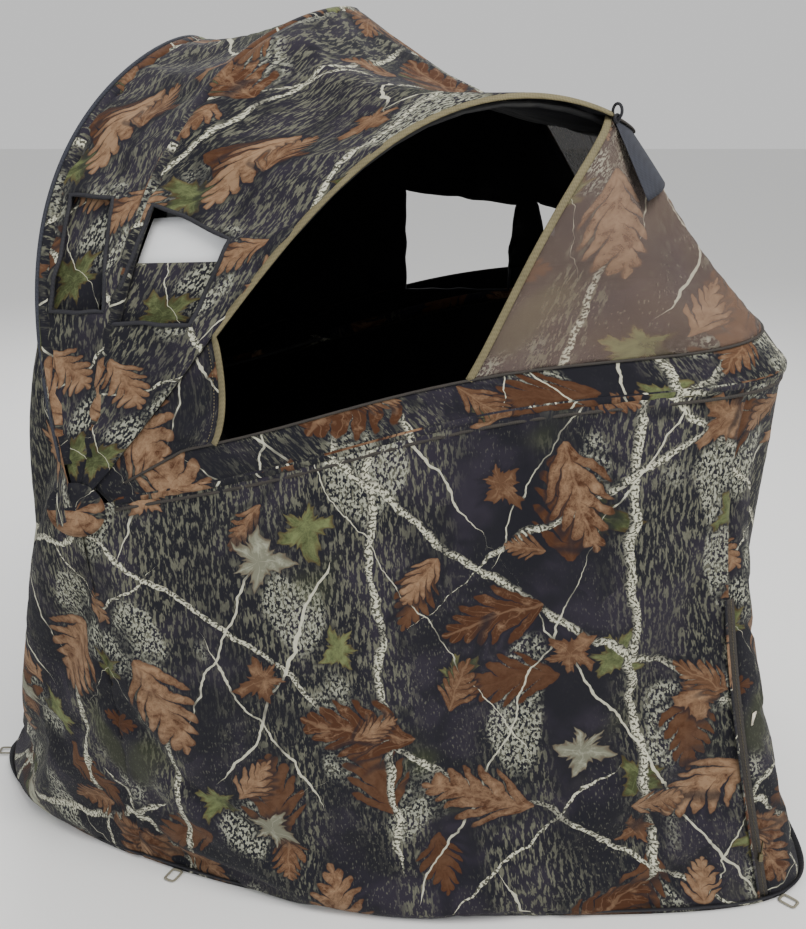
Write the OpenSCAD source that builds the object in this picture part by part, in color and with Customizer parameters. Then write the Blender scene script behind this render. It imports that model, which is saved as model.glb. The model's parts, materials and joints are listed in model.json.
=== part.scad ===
// One-person pop-up ground blind: a folding tube chair whose back frame carries
// four hoops on one hinge line. A camouflage skin hangs on the hoops.
// X runs across the blind, the front faces -Y, Z is up and the ground is Z = 0.

/* [Hinge] */
// Distance of the hoop hinge line behind the middle of the hem
hub_y = 465; // [440:5:490]
// Height of the hoop hinge line above the ground
hub_z = 765; // [740:5:800]
// Half the width of the skin at the hinge line
hub_skin = 450; // [435:5:460]
// Diameter of the hinge pins
pin_d = 8; // [6:0.5:10]
// Running clearance of a hinge pin, on the radius
pin_clear = 0.05; // [0.02:0.01:0.1]
// Thickness of a hoop's end eye
eye_t = 9; // [7:0.5:10]
// Thickness of the washers between the eyes
washer_t = 2; // [1:0.5:3]

/* [Hoops] */
// Diameter of the hoop rods
rod_d = 10; // [8:0.5:13]
// Reach of the rear hoop from the hinge line
rear_reach = 716; // [640:2:760]
// Reach of the top hoop from the hinge line
top_reach = 863; // [820:1:920]
// Reach of the upper front hoop from the hinge line
upper_reach = 1030; // [960:2:1080]
// Reach of the lower front hoop from the hinge line
lower_reach = 1142; // [950:2:1200]
// Half the width of the hoops at their widest
hoop_half_w = 462; // [440:2:480]

/* [Skin] */
// Thickness of the skin panels
skin_t = 2; // [1:0.5:3]
// Clearance between a rod and the skin around it
skin_clear = 2.5; // [1:0.5:4]
// Half the width of the skin at the ground
hem_half_w = 484; // [460:1:584]
// Distance of the hem in front of the middle
hem_front = 805; // [760:1:840]
// Distance of the hem behind the middle
hem_rear = 805; // [770:1:840]
// Gap between two skin panels at a seam
seam_gap = 1; // [0.5:0.1:2]
// Height of the sill band over the lower front hoop
band_h = 70; // [50:5:90]

/* [Chair] */
// Diameter of the chair tubes
tube_d = 22; // [19:0.2:26.4]
// Half the width of the back frame, at its tubes' centres
post_x = 270; // [250:2:280]
// Height of the top of the back frame
post_top_z = 960; // [900:5:980]
// Height of the seat's front rail
seat_z = 440; // [400:5:460]
// Thickness of the sling fabric
sling_t = 2; // [1.5:0.5:3]
// Height of the foot caps
cap_h = 30; // [20:1:40]

/* [Hidden] */
$fn = 40;

camo = "darkolivegreen";
black = [0.08, 0.08, 0.09];
eye_pitch = eye_t + washer_t;
bracket_t = 4;
bracket_x = 352;
first_eye_x = bracket_x + bracket_t / 2 + washer_t + eye_t / 2;
ferrule_d = 14;
ferrule_end = 80;
grow_out = rod_d / 2 + skin_clear + skin_t;
grow_in = rod_d / 2 + skin_clear;

// A hoop: leg angle above forward, lean of its crown, reach, half width,
// squareness, how late it leans, upward bow, and its eye's place across.
rear = [97, 20, rear_reach, hoop_half_w - 27, 2.6, 2.5, 0, first_eye_x];
upper = [49, 16.7, upper_reach, hoop_half_w - 2, 6.5, 6.5, 1.5, first_eye_x + eye_pitch];
top = [74.5, 14.5, top_reach, hoop_half_w + 8, 2.5, 4, 0, first_eye_x + 2 * eye_pitch];
lower = [11, 0, lower_reach, hoop_half_w + 8, 10, 2, 3.2, first_eye_x + 3 * eye_pitch];

function lerp(p, q, f) = p + (q - p) * f;
function smooth(f) = let (g = min(1, max(0, f))) g * g * (3 - 2 * g);
function super_r(a, p) = pow(pow(abs(cos(a)), p) + pow(abs(sin(a)), p), -1 / p);

// A point of hoop h, from a = 0 at the left hub over the crown to 180 at the right.
// grow moves it outwards and root is the half width at the hub.
function hoop_point(h, a, grow, root) =
    let (r = super_r(a, h[4]), c = r * cos(a), s = r * sin(a),
         reach = (h[2] + grow) * s,
         up = h[0] - h[1] * pow(s, h[5]) + h[6] * pow(sin(180 * min(s, 1)), 2),
         half = root + (h[3] + grow - root) * smooth((reach - 70) / 330))
    [-half * c, hub_y - reach * cos(up), hub_z + reach * sin(up)];

function skin_point(h, a, grow) = hoop_point(h, a, grow, hub_skin + grow - grow_out);

// The plan of the hem: straight sides, a square front and a rear drawn in to a point.
hem_mid = -133;
front_square = 8.5;
rear_square = 1.65;
rear_start = 450;
function hem_narrow(y) =
    y < hem_mid ? 1 : pow(1 - pow(min(1, (y - hem_mid) / (hem_rear - hem_mid)), rear_square),
                          1 / rear_square);
function hem_front_point(a, grow) =
    let (r = super_r(a, front_square), y = rear_start - (rear_start + hem_front + grow) * r * sin(a))
    [-(hem_half_w + grow) * r * cos(a) * hem_narrow(y), y, 0];
function hem_rear_point(a, grow) =
    let (y = rear_start + (hem_rear - rear_start) * pow(sin(a), 1.2))
    [-(hem_half_w) * hem_narrow(y) * sign(90 - a) - grow * cos(a), y + grow * sin(a), 0];

// Panels between two hoops.
function fan_point(h, g, a, f, grow) = lerp(skin_point(h, a, grow), skin_point(g, a, grow), f);
function band_share(a) =
    min(0.5, band_h / norm(skin_point(lower, a, grow_out) - skin_point(upper, a, grow_out)));
function above_sill(a, f, grow) = fan_point(upper, lower, a, f * (1 - band_share(a)) , grow);
function sill_point(a, f, grow) = fan_point(lower, upper, a, f * band_share(a), grow);

// The mesh's free edge slants over the left side; its right edge is sewn at the corner.
edge_top = 51;
edge_low = 30.5;
corner_top = 50;
corner_low = 45;
edge_bow = 1.6;
function mesh_edge(f) = edge_top + (edge_low - edge_top) * f - edge_bow * sin(180 * f);
function corner_edge(f) = corner_top + (corner_low - corner_top) * f;

// The left side's opening ends behind at the edge of a gusset.
gusset_top = 19.5;
gusset_low = 13.5;
function gusset_edge(f) = gusset_top + (gusset_low - gusset_top) * f;

// The skirt drops from the lower hoop to the hem, drawn in below the front corners.
skirt_tuck = 55;
side_tuck = 14;
function skirt_point(a, f, grow) =
    let (p = lerp(skin_point(lower, a, grow), hem_front_point(a, grow), f),
         s = super_r(a, 10) * sin(a), c = super_r(a, 10) * cos(a),
         pull = sin(180 * pow(f, 0.7)))
    p + [side_tuck * c * pull * sin(min(90, a * 3)), skirt_tuck * s * s * s * pull, 0];

// The rear wall drops behind the rear hoop to the hem, bulging over the chair's back.
rear_bulge = 78;
rear_lift = 6;
function rear_top(a, grow) =
    skin_point(rear, a, 0) + (grow + rear_lift) * [-cos(a), sin(a), 0] - [0, 0, rod_d / 2];
function rear_point(a, f, grow) =
    let (p = lerp(rear_top(a, grow), hem_rear_point(a, grow), f),
         out = rear_bulge * sin(180 * pow(f, 0.72)))
    p + [-0.45 * out * cos(a) * sin(a) * 2, out * sin(a), 0];

function span(low, high, n) = [for (i = [0:n]) low + (high - low) * i / n];

// Angles round a hoop, closer together over its corners; rods and skin share them.
half_turns = concat(span(4, 32, 7), span(34.2, 56.2, 10), span(60, 90, 6));
last_turn = len(half_turns) - 1;
hoop_turns = concat(half_turns, [for (i = [1:last_turn]) 180 - half_turns[last_turn - i]]);
function turns(from, to) =
    concat([from], [for (a = hoop_turns) if (a > from + 0.5 && a < to - 0.5) a], [to]);
function turn_shares(from, to) = [for (a = turns(from, to)) (a - from) / (to - from)];
function join(rows) = [for (row = rows) for (p = row) p];

// A closed shell between an outer and an inner grid of points.
module shell(outer, inner) {
    m = len(outer);
    n = len(outer[0]);
    k = m * n;
    quads = concat(
        [for (i = [0:m - 2]) for (j = [0:n - 2])
            [i * n + j, i * n + j + 1, (i + 1) * n + j + 1, (i + 1) * n + j]],
        [for (i = [0:m - 2]) for (j = [0:n - 2])
            [k + i * n + j, k + (i + 1) * n + j, k + (i + 1) * n + j + 1, k + i * n + j + 1]],
        [for (j = [0:n - 2]) [k + j, k + j + 1, j + 1, j]],
        [for (j = [0:n - 2])
            [(m - 1) * n + j, (m - 1) * n + j + 1, k + (m - 1) * n + j + 1, k + (m - 1) * n + j]],
        [for (i = [0:m - 2]) [i * n, (i + 1) * n, k + (i + 1) * n, k + i * n]],
        [for (i = [0:m - 2])
            [k + i * n + n - 1, k + (i + 1) * n + n - 1, (i + 1) * n + n - 1, i * n + n - 1]]
    );
    faces = [for (q = quads) each [[q[0], q[1], q[2]], [q[0], q[2], q[3]]]];
    polyhedron(points = concat(join(outer), join(inner)), faces = faces, convexity = 6);
}

// A tube of the given diameter swept along points, with flat ends.
module swept(points, d, sides) {
    n = len(points);
    tangents = [for (i = [0:n - 1])
        let (v = points[min(n - 1, i + 1)] - points[max(0, i - 1)]) v / norm(v)];
    rings = [for (i = [0:n - 1])
        let (t = tangents[i], u = cross([0.25, 1, 0.4], t), w = u / norm(u), b = cross(t, w))
        [for (j = [0:sides - 1])
            points[i] + d / 2 * (cos(360 * j / sides) * w + sin(360 * j / sides) * b)]];
    faces = concat(
        [[for (j = [0:sides - 1]) j]],
        [[for (j = [0:sides - 1]) (n - 1) * sides + sides - 1 - j]],
        [for (i = [0:n - 2]) for (j = [0:sides - 1])
            let (p = i * sides + j, q = i * sides + (j + 1) % sides)
            each [[p, q + sides, q], [p, p + sides, q + sides]]]
    );
    polyhedron(points = join(rings), faces = faces, convexity = 6);
}

// A straight rod between two points.
module bar(p, q, d) {
    v = q - p;
    length = norm(v);
    translate(p)
        rotate([0, acos(v[2] / length), atan2(v[1], v[0])])
            cylinder(d = d, h = length);
}

module both_sides() {
    children();
    mirror([1, 0, 0]) children();
}

// ---- hoops -------------------------------------------------------------

// Angle at which a hoop's rod reaches its ferrule.
function rod_start(h) = atan(ferrule_end / h[2]);
module hoop(h) {
    start = rod_start(h);
    swept([for (a = turns(start, 180 - start)) hoop_point(h, a, 0, h[7])], rod_d, 8);
}

// The two end eyes of a hoop: a flat eye, its neck and the ferrule on the rod's end.
ferrule_l = 26;
rod_seat = 0.3;
module hoop_eyes(h) {
    first = hoop_point(h, rod_start(h), 0, h[7]) - [-h[7], hub_y, hub_z];
    reach = norm(first);
    both_sides()
        translate([-h[7], hub_y, hub_z]) rotate([atan2(-first[1], first[2]), 0, 0])
            difference() {
                union() {
                    translate([-eye_t / 2, 0, 0]) rotate([0, 90, 0]) cylinder(r = 13, h = eye_t);
                    translate([-eye_t / 2, -5, 0]) cube([eye_t, 10, reach - ferrule_l + 1]);
                    translate([0, 0, reach - ferrule_l]) cylinder(d = ferrule_d, h = ferrule_l - rod_seat);
                }
                translate([-eye_t, 0, 0])
                    rotate([0, 90, 0]) cylinder(d = pin_d + 2 * pin_clear, h = 2 * eye_t);
            }
}

module rear_hoop() { color(black) hoop(rear); }
module top_hoop() { color(black) hoop(top); }
module upper_front_hoop() { color(black) hoop(upper); }
module lower_front_hoop() { color(black) hoop(lower); }
module rear_hoop_eyes() { color("dimgray") hoop_eyes(rear); }
module top_hoop_eyes() { color("dimgray") hoop_eyes(top); }
module upper_front_hoop_eyes() { color("dimgray") hoop_eyes(upper); }
module lower_front_hoop_eyes() { color("dimgray") hoop_eyes(lower); }

// ---- hub ---------------------------------------------------------------

// Chair lines in side view, as [y, z]: the back frame's foot, bend and top, and
// the leg frame's foot and top.
post_foot = [-160, 0];
post_bend = [262, 440];
post_head = [530, post_top_z];
leg_foot = [470, 0];
leg_head = [-60, seat_z];
leg_x = post_x - tube_d - 4;
function at_z(p, q, z) = p[0] + (q[0] - p[0]) * (z - p[1]) / (q[1] - p[1]);
function meet_z(p, q, r, s) =
    let (k = (q[0] - p[0]) / (q[1] - p[1]), m = (s[0] - r[0]) / (s[1] - r[1]))
    (r[0] - p[0] + k * p[1] - m * r[1]) / (k - m);
cross_z = meet_z(post_foot, post_bend, leg_foot, leg_head);
cross_y = at_z(post_foot, post_bend, cross_z);
pin_x0 = bracket_x - bracket_t / 2 - 5;
pin_x1 = first_eye_x + 3 * eye_pitch + eye_t / 2 + washer_t;

// An arm across from the post to a plate that holds the hinge pin.
module hub_brackets() {
    post_y = at_z(post_bend, post_head, hub_z);
    arm = 30;
    arm_shift = 12;
    color("dimgray") both_sides()
        difference() {
            union() {
                translate([-bracket_x - bracket_t / 2, hub_y, hub_z])
                    rotate([0, 90, 0]) cylinder(r = 24, h = bracket_t);
                translate([-bracket_x + bracket_t / 2, post_y - arm / 2 + arm_shift, hub_z - arm / 2])
                    cube([bracket_x - bracket_t / 2 - post_x, arm, arm]);
            }
            translate([-bracket_x - bracket_t, hub_y, hub_z])
                rotate([0, 90, 0]) cylinder(d = pin_d, h = bracket_t * 2);
            translate([-bracket_x + bracket_t / 2 - 1, hub_y, hub_z])
                rotate([0, 90, 0]) cylinder(d = 18, h = 12);
            posts_solid();
        }
}

module hub_pins() {
    color("silver") both_sides() {
        translate([-pin_x1, hub_y, hub_z])
            rotate([0, 90, 0]) cylinder(d = pin_d, h = pin_x1 - pin_x0);
        translate([-pin_x1 - 4, hub_y, hub_z])
            rotate([0, 90, 0]) cylinder(d = 16, h = 4);
    }
}

module hub_nuts() {
    color("silver") both_sides()
        difference() {
            translate([-bracket_x + bracket_t / 2, hub_y, hub_z])
                rotate([0, 90, 0]) cylinder(d = 14, h = 5, $fn = 6);
            translate([-bracket_x, hub_y, hub_z])
                rotate([0, 90, 0]) cylinder(d = pin_d, h = 20);
        }
}

module hub_washers() {
    color("white") both_sides()
        for (i = [0:4])
            translate([-(first_eye_x - eye_t / 2 - washer_t) - i * eye_pitch - washer_t, hub_y, hub_z])
                rotate([0, 90, 0])
                    difference() {
                        cylinder(d = 18, h = washer_t);
                        translate([0, 0, -1]) cylinder(d = pin_d, h = washer_t + 2);
                    }
}

// ---- chair -------------------------------------------------------------

function side_point(x, p) = [x, p[0], p[1]];
cap_gap = 3;
bead = 1;
module posts_solid() {
    for (x = [-post_x, post_x]) {
        foot = lerp(post_foot, post_bend, cap_gap * 1.5 / post_bend[1]);
        bar(side_point(x, foot), side_point(x, post_bend), tube_d);
        translate(side_point(x, post_bend)) sphere(d = tube_d + bead);
        bar(side_point(x, post_bend), side_point(x, post_head), tube_d);
        translate(side_point(x, post_head)) sphere(d = tube_d + bead);
    }
}

module back_frame() {
    color(black) difference() {
        union() {
            posts_solid();
            bar(side_point(-post_x, post_head), side_point(post_x, post_head), tube_d);
        }
        translate([0, 0, -20]) cube([1000, 1000, 40 + 2 * cap_gap], center = true);
        translate([-400, cross_y, cross_z]) rotate([0, 90, 0]) cylinder(d = pin_d, h = 800);
    }
}

// The seat's rear rail, behind the posts, where the folded leg frame stops.
rail_z = 455;
rail_d = 16;
rail_over = 10;
lean_share = norm(post_head - post_bend) / (post_head[1] - post_bend[1]);
rail_y = at_z(post_bend, post_head, rail_z) + (tube_d + rail_d) / 2 * lean_share;
module back_rail() {
    color(black) bar([-post_x - rail_over, rail_y, rail_z], [post_x + rail_over, rail_y, rail_z], rail_d);
}

module leg_frame() {
    foot = lerp(leg_foot, leg_head, cap_gap * 1.5 / leg_head[1]);
    color(black) difference() {
        union() {
            for (x = [-leg_x, leg_x]) {
                bar(side_point(x, foot), side_point(x, leg_head), tube_d);
                translate(side_point(x, leg_head)) sphere(d = tube_d + bead);
            }
            bar(side_point(-leg_x, leg_head), side_point(leg_x, leg_head), tube_d);
            brace = lerp(leg_foot, leg_head, 0.25);
            bar(side_point(-leg_x, brace), side_point(leg_x, brace), tube_d - 6);
        }
        translate([0, 0, -20]) cube([1200, 1400, 40 + 2 * cap_gap], center = true);
        translate([-400, cross_y, cross_z])
            rotate([0, 90, 0]) cylinder(d = pin_d + 2 * pin_clear, h = 800);
    }
}

bolt_in = leg_x - tube_d / 2 - 8;
bolt_out = post_x + tube_d / 2;
module leg_pivot_bolts() {
    color("silver") both_sides() {
        translate([-bolt_out, cross_y, cross_z])
            rotate([0, 90, 0]) cylinder(d = pin_d, h = bolt_out - bolt_in);
        translate([-bolt_out - 5, cross_y, cross_z])
            rotate([0, 90, 0]) cylinder(d = 15, h = 5);
    }
}

module leg_pivot_nuts() {
    color("silver") both_sides()
        difference() {
            translate([-bolt_in - 7, cross_y, cross_z])
                rotate([0, 90, 0]) cylinder(d = 14, h = 6, $fn = 6);
            translate([-bolt_in - 10, cross_y, cross_z])
                rotate([0, 90, 0]) cylinder(d = pin_d, h = 20);
        }
}

// A cap over a tube's end, flat on the ground.
module foot_cap(x, p, q) {
    way = side_point(0, q) - side_point(0, p);
    unit = way / norm(way);
    base = side_point(x, p);
    difference() {
        bar(base - unit * 20, base + unit * cap_h, tube_d + 6);
        bar(base + unit * cap_gap * 1.2, base + unit * (cap_h + 20), tube_d);
        translate(base - [50, 50, 50]) cube([100, 100, 50]);
    }
}

module foot_caps(x, p, q) {
    color(black) for (side = [-x, x]) foot_cap(side, p, q);
}

module back_foot_caps() { foot_caps(post_x, post_foot, post_bend); }
module leg_foot_caps() { foot_caps(leg_x, leg_foot, leg_head); }

// The seat hangs from the rear rail to the leg frame's top rail.
seat_half = leg_x - tube_d / 2 - 6;
seat_sag = 45;
module seat_sling() {
    back_edge = [rail_y, rail_z + rail_d / 2 + bead];
    front_edge = [leg_head[0], leg_head[1] + tube_d / 2 + bead];
    rows = [for (f = span(0, 1, 14))
        let (p = lerp(front_edge, back_edge, f)) [p[0], p[1] - seat_sag * pow(sin(180 * f), 2)]];
    grid = function (lift) [for (x = span(-seat_half, seat_half, 4))
        [for (p = rows) [x, p[0], p[1] + lift]]];
    color(camo) shell(grid(sling_t), grid(0));
}

// The back sling spans the posts, on their front.
module back_sling() {
    low = 520;
    high = post_top_z - 40;
    half = post_x + tube_d / 2;
    ahead = (tube_d / 2 + 0.6) * 1.14;
    grid = function (lift) [for (x = span(-half, half, 8))
        [for (z = span(low, high, 6))
            [x, at_z(post_bend, post_head, z) - ahead - lift + 20 * pow(cos(90 * x / half), 2)
                * (abs(x) < post_x - tube_d ? 1 : 0), z]]];
    color(camo) shell(grid(sling_t), grid(0));
}

// ---- skin --------------------------------------------------------------

// Panel over a range of angles between two hoops; lift raises its front edge.
fan_low = 1.6;
module fan_panel(h, g, from, to, rows, lift) {
    gap = seam_gap / 400;
    grid = function (grow) [for (f = span(gap, 1 - gap, rows))
        [for (a = turns(from, to)) fan_point(h, g, a, f, grow + lift * f)]];
    shell(grid(grow_out), grid(grow_in));
}

// An outline in side view, as [y, z] points, pushed through the skin of the left side.
module side_window(outline) {
    depth = 200;
    translate([depth / 2 - 20 - hub_skin, 0, 0])
        rotate([90, 0, 90])
            linear_extrude(height = depth, center = true) polygon(outline);
}

// Windows as [y, z] outlines: one in the rear roof, one in the main roof, two in the door.
rear_window = [[443, 1242], [375, 1240], [392, 1080], [478, 1076]];
side_window_outline = [[311, 1232], [200, 1186], [262, 1064], [390, 1062]];
door_window = [[-55, 1182], [-308, 1152], [-296, 955], [-55, 955]];
door_slot = [[-350, 1160], [-404, 1143], [-398, 1078], [-372, 1078]];
panel_seam = 46;

module rear_roof(from, to) { fan_panel(rear, top, from, to, 3, 0); }
front_lift = 6.5;
module main_roof(from, to) { fan_panel(top, upper, from, to, 4, front_lift); }
module rear_roof_left() {
    color(camo) difference() {
        rear_roof(fan_low, panel_seam);
        side_window(rear_window);
    }
}
module rear_roof_top() { color(camo) rear_roof(panel_seam + 0.04, 180 - panel_seam - 0.04); }
module rear_roof_right() { mirror([1, 0, 0]) rear_roof_left(); }
module main_roof_left() {
    color(camo) difference() {
        main_roof(fan_low, panel_seam);
        side_window(side_window_outline);
    }
}
module main_roof_top() { color(camo) main_roof(panel_seam + 0.04, 180 - panel_seam - 0.04); }
module main_roof_right() { mirror([1, 0, 0]) main_roof_left(); }

// See-through front panel, with a slanting free edge on the left.
module front_mesh() {
    gap = seam_gap / 400;
    grid = function (grow) [for (f = span(gap, 1 - gap, 5))
        [for (s = turn_shares(edge_top, 180 - corner_top))
            above_sill(lerp(mesh_edge(f), 180 - corner_edge(f), s), f, grow)]];
    color("slategray") shell(grid(grow_out), grid(grow_in));
}

// Closed side panel between the upper hoop, the sill and the mesh.
module right_door() {
    gap = seam_gap / 400;
    grid = function (grow) [for (f = span(gap, 1 - gap, 5))
        [for (s = turn_shares(fan_low + 1, corner_top))
            above_sill(lerp(fan_low + 1, corner_edge(f) - 0.1, s), f, grow)]];
    color(black) mirror([1, 0, 0]) difference() {
        shell(grid(grow_out), grid(grow_in));
        side_window(door_window);
        side_window(door_slot);
    }
}

// Closes the left side between the opening and the hinge.
module left_gusset() {
    gap = seam_gap / 200;
    grid = function (grow) [for (f = span(gap, 1 - gap, 4))
        [for (s = span(0, 1, 5)) above_sill(lerp(fan_low + 1, gusset_edge(f), s), f, grow)]];
    color(camo) shell(grid(grow_out), grid(grow_in));
}

// The solid band over the lower hoop.
sill_corner = 45;
module sill_band(from, to) {
    gap = seam_gap / band_h;
    grid = function (grow) [for (f = span(gap, 1 - gap, 2))
        [for (a = turns(from, to)) sill_point(a, f, grow)]];
    color(camo) shell(grid(grow_in), grid(grow_out));
}
module sill_band_left() { sill_band(fan_low + 1, sill_corner); }
module sill_band_front() { sill_band(sill_corner + 0.04, 180 - sill_corner - 0.04); }
module sill_band_right() { mirror([1, 0, 0]) sill_band_left(); }

skirt_rows = 8;
module skirt(from, to) {
    gap = seam_gap / 700;
    grid = function (grow) [for (f = span(gap, 1, skirt_rows))
        [for (a = turns(from, to)) skirt_point(a, f, grow)]];
    color(camo) shell(grid(grow_out), grid(grow_in));
}
skirt_corner = 44.5;
module skirt_left() { skirt(0.06, skirt_corner); }
module skirt_front() { skirt(skirt_corner + 0.04, 180 - skirt_corner - 0.04); }
module skirt_right() { mirror([1, 0, 0]) skirt_left(); }

module rear_wall(from, to) {
    gap = seam_gap / 700;
    grid = function (grow) [for (f = span(gap, 1, 8))
        [for (a = turns(from, to)) rear_point(a, f, grow)]];
    color(camo) shell(grid(grow_in), grid(grow_out));
}
rear_seam = 50;
module rear_wall_left() { rear_wall(0.06, rear_seam); }
module rear_wall_back() { rear_wall(rear_seam + 0.04, 180 - rear_seam - 0.04); }
module rear_wall_right() { mirror([1, 0, 0]) rear_wall_left(); }

// Round reinforcement over the point where the skin panels meet at the hinge.
module pivot_patches() {
    color(camo) both_sides()
        translate([-hub_skin - rear_lift - 3, hub_y, hub_z])
            rotate([0, 90, 0]) cylinder(r = 32, h = 2);
}

// ---- fittings on the skin ----------------------------------------------

// A sliding fabric panel just inside a window, between two angles of a fan.
panel_inset = 8;
module window_panel(h, g, from, to, low, high) {
    grid = function (grow) [for (f = span(low, high, 3))
        [for (a = span(from, to, 5)) fan_point(h, g, a, f, grow)]];
    color("olive") shell(grid(grow_in - panel_inset), grid(grow_in - panel_inset - skin_t));
}
module rear_window_panel_left() { window_panel(rear, top, 24, 42, 0.07, 0.74); }
module rear_window_panel_right() { mirror([1, 0, 0]) rear_window_panel_left(); }
module side_window_panel_left() { window_panel(top, upper, 17.5, 26.3, 0.06, 0.9); }
module side_window_panel_right() { mirror([1, 0, 0]) side_window_panel_left(); }

// The door's window panel hangs behind and below its window, down to the sill.
module door_window_panel() {
    grid = function (grow) [for (f = span(0.5, 0.97, 3))
        [for (a = span(15, 24.5, 5)) above_sill(a, f, grow)]];
    color("olive") mirror([1, 0, 0])
        shell(grid(grow_in - panel_inset), grid(grow_in - panel_inset - skin_t));
}

// Zip tape over the seam between the side and the front of the skirt.
zip_half = 0.8;
first_zip_row = 3;
zip_lift = 1.2;
zip_t = 2;
module corner_zips() {
    zip_rows = [for (i = [first_zip_row:skirt_rows]) min(i / skirt_rows, 1 - 0.1 / skirt_rows)];
    grid = function (grow) [for (f = zip_rows)
        [for (a = span(skirt_corner - zip_half, skirt_corner + zip_half, 2)) skirt_point(a, f, grow)]];
    color("darkkhaki") both_sides()
        shell(grid(grow_out + zip_lift + zip_t), grid(grow_out + zip_lift));
}

// A zip's slider with its pull tab, a little off the tape.
slider_at = 0.9;
slider_lift = 5;
module left_zip_slider() {
    p = skirt_point(skirt_corner, slider_at, grow_out + zip_lift + zip_t + slider_lift);
    q = skirt_point(skirt_corner, slider_at - 0.1, grow_out + zip_lift + zip_t + slider_lift);
    v = q - p;
    color("darkkhaki") translate(p) rotate([0, acos(v[2] / norm(v)), atan2(v[1], v[0])])
        union() {
            translate([-2, -5, -8]) cube([4, 10, 16]);
            translate([-1, -4, 8]) cube([2, 8, 30]);
        }
}
module right_zip_slider() { mirror([1, 0, 0]) left_zip_slider(); }

// Webbing loops for stakes: a flat loop lying out from the hem at p towards d degrees.
loop_long = 34;
loop_wide = 26;
loop_gap = 2;
module stake_loop(p, d) {
    translate([p[0], p[1], 2]) rotate([0, 0, d]) translate([loop_gap, 0, 0])
        linear_extrude(height = 3)
            difference() {
                translate([0, -loop_wide / 2]) square([loop_long, loop_wide]);
                translate([5, -loop_wide / 2 + 5]) square([loop_long - 10, loop_wide - 10]);
            }
}
module stake_loops() {
    color("khaki") {
        stake_loop(hem_rear_point(90, grow_out), 90);
        stake_loop(hem_front_point(90, grow_out), -90);
        both_sides() {
            stake_loop(hem_front_point(3.5, grow_out), 155);
            stake_loop(hem_front_point(46, grow_out), 225);
        }
    }
}

// The black loop at the top of the mesh's free edge.
module tie_loop() {
    p = skin_point(upper, mesh_edge(0), grow_out + 15);
    color("black") translate(p) rotate([0, 20, 60]) rotate_extrude()
        translate([9, 0]) circle(d = 4);
}

module hem_tag() {
    p = skirt_point(skirt_corner + 1.6, 0.62, grow_out + 3);
    color("beige") translate(p) rotate([0, 0, 45]) translate([-1, -6, -12]) cube([1.5, 12, 24]);
}

back_frame();
leg_frame();
back_rail();
leg_pivot_bolts();
leg_pivot_nuts();
back_foot_caps();
leg_foot_caps();
seat_sling();
back_sling();
hub_brackets();
hub_pins();
hub_nuts();
hub_washers();
rear_hoop();
top_hoop();
upper_front_hoop();
lower_front_hoop();
rear_hoop_eyes();
top_hoop_eyes();
upper_front_hoop_eyes();
lower_front_hoop_eyes();
rear_wall_left();
rear_wall_back();
rear_wall_right();
rear_roof_left();
rear_roof_top();
rear_roof_right();
main_roof_left();
main_roof_top();
main_roof_right();
front_mesh();
left_gusset();
right_door();
sill_band_left();
sill_band_front();
sill_band_right();
skirt_left();
skirt_front();
skirt_right();
pivot_patches();
rear_window_panel_left();
rear_window_panel_right();
side_window_panel_left();
side_window_panel_right();
door_window_panel();
corner_zips();
left_zip_slider();
right_zip_slider();
stake_loops();
tie_loop();
hem_tag();
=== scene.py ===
"""A one-person pop-up ground blind: camouflage skin, hoops, windows, zips and the chair inside."""
import json
import math

import bmesh
import bpy
from mathutils import Matrix, Vector, noise
from mathutils.bvhtree import BVHTree


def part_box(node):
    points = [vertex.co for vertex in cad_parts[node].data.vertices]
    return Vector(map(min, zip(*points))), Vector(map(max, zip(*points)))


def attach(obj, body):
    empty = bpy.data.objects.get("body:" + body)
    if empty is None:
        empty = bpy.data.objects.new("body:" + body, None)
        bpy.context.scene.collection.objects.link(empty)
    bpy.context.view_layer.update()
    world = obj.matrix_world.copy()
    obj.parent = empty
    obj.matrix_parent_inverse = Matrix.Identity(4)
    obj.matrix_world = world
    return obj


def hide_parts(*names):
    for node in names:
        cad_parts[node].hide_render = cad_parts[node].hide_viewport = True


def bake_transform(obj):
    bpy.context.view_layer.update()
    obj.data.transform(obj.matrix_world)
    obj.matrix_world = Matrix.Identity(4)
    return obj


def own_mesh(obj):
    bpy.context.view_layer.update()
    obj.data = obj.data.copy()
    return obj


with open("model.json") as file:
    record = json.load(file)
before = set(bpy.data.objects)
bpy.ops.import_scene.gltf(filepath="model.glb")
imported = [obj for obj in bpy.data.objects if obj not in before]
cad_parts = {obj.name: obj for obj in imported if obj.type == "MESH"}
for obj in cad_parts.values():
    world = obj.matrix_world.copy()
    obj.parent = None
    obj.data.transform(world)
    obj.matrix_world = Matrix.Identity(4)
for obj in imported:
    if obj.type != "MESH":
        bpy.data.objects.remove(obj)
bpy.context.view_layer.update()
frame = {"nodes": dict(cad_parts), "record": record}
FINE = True

# ---- camera and stage ----

EYE = Vector((-1.97, -0.05, 1.375))
PITCH_DOWN = 19.42
LOOKS_ALONG = -90
LENS = 40.1
WORLD_LIGHT = 0.75


def make_camera():
    data = bpy.data.cameras.new("camera")
    data.lens = LENS
    data.sensor_width = 36
    camera = bpy.data.objects.new("camera", data)
    camera.location = EYE
    camera.rotation_euler = (math.radians(90 - PITCH_DOWN), 0, math.radians(LOOKS_ALONG))
    bpy.context.collection.objects.link(camera)
    bpy.context.scene.camera = camera


def make_light(name, place, aim, size, power, colour=(1, 1, 1)):
    data = bpy.data.lights.new(name, "AREA")
    data.size = size
    data.energy = power
    data.color = colour
    light = bpy.data.objects.new(name, data)
    light.location = place
    light.rotation_euler = (Vector(aim) - Vector(place)).to_track_quat("-Z", "Y").to_euler()
    bpy.context.collection.objects.link(light)


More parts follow.
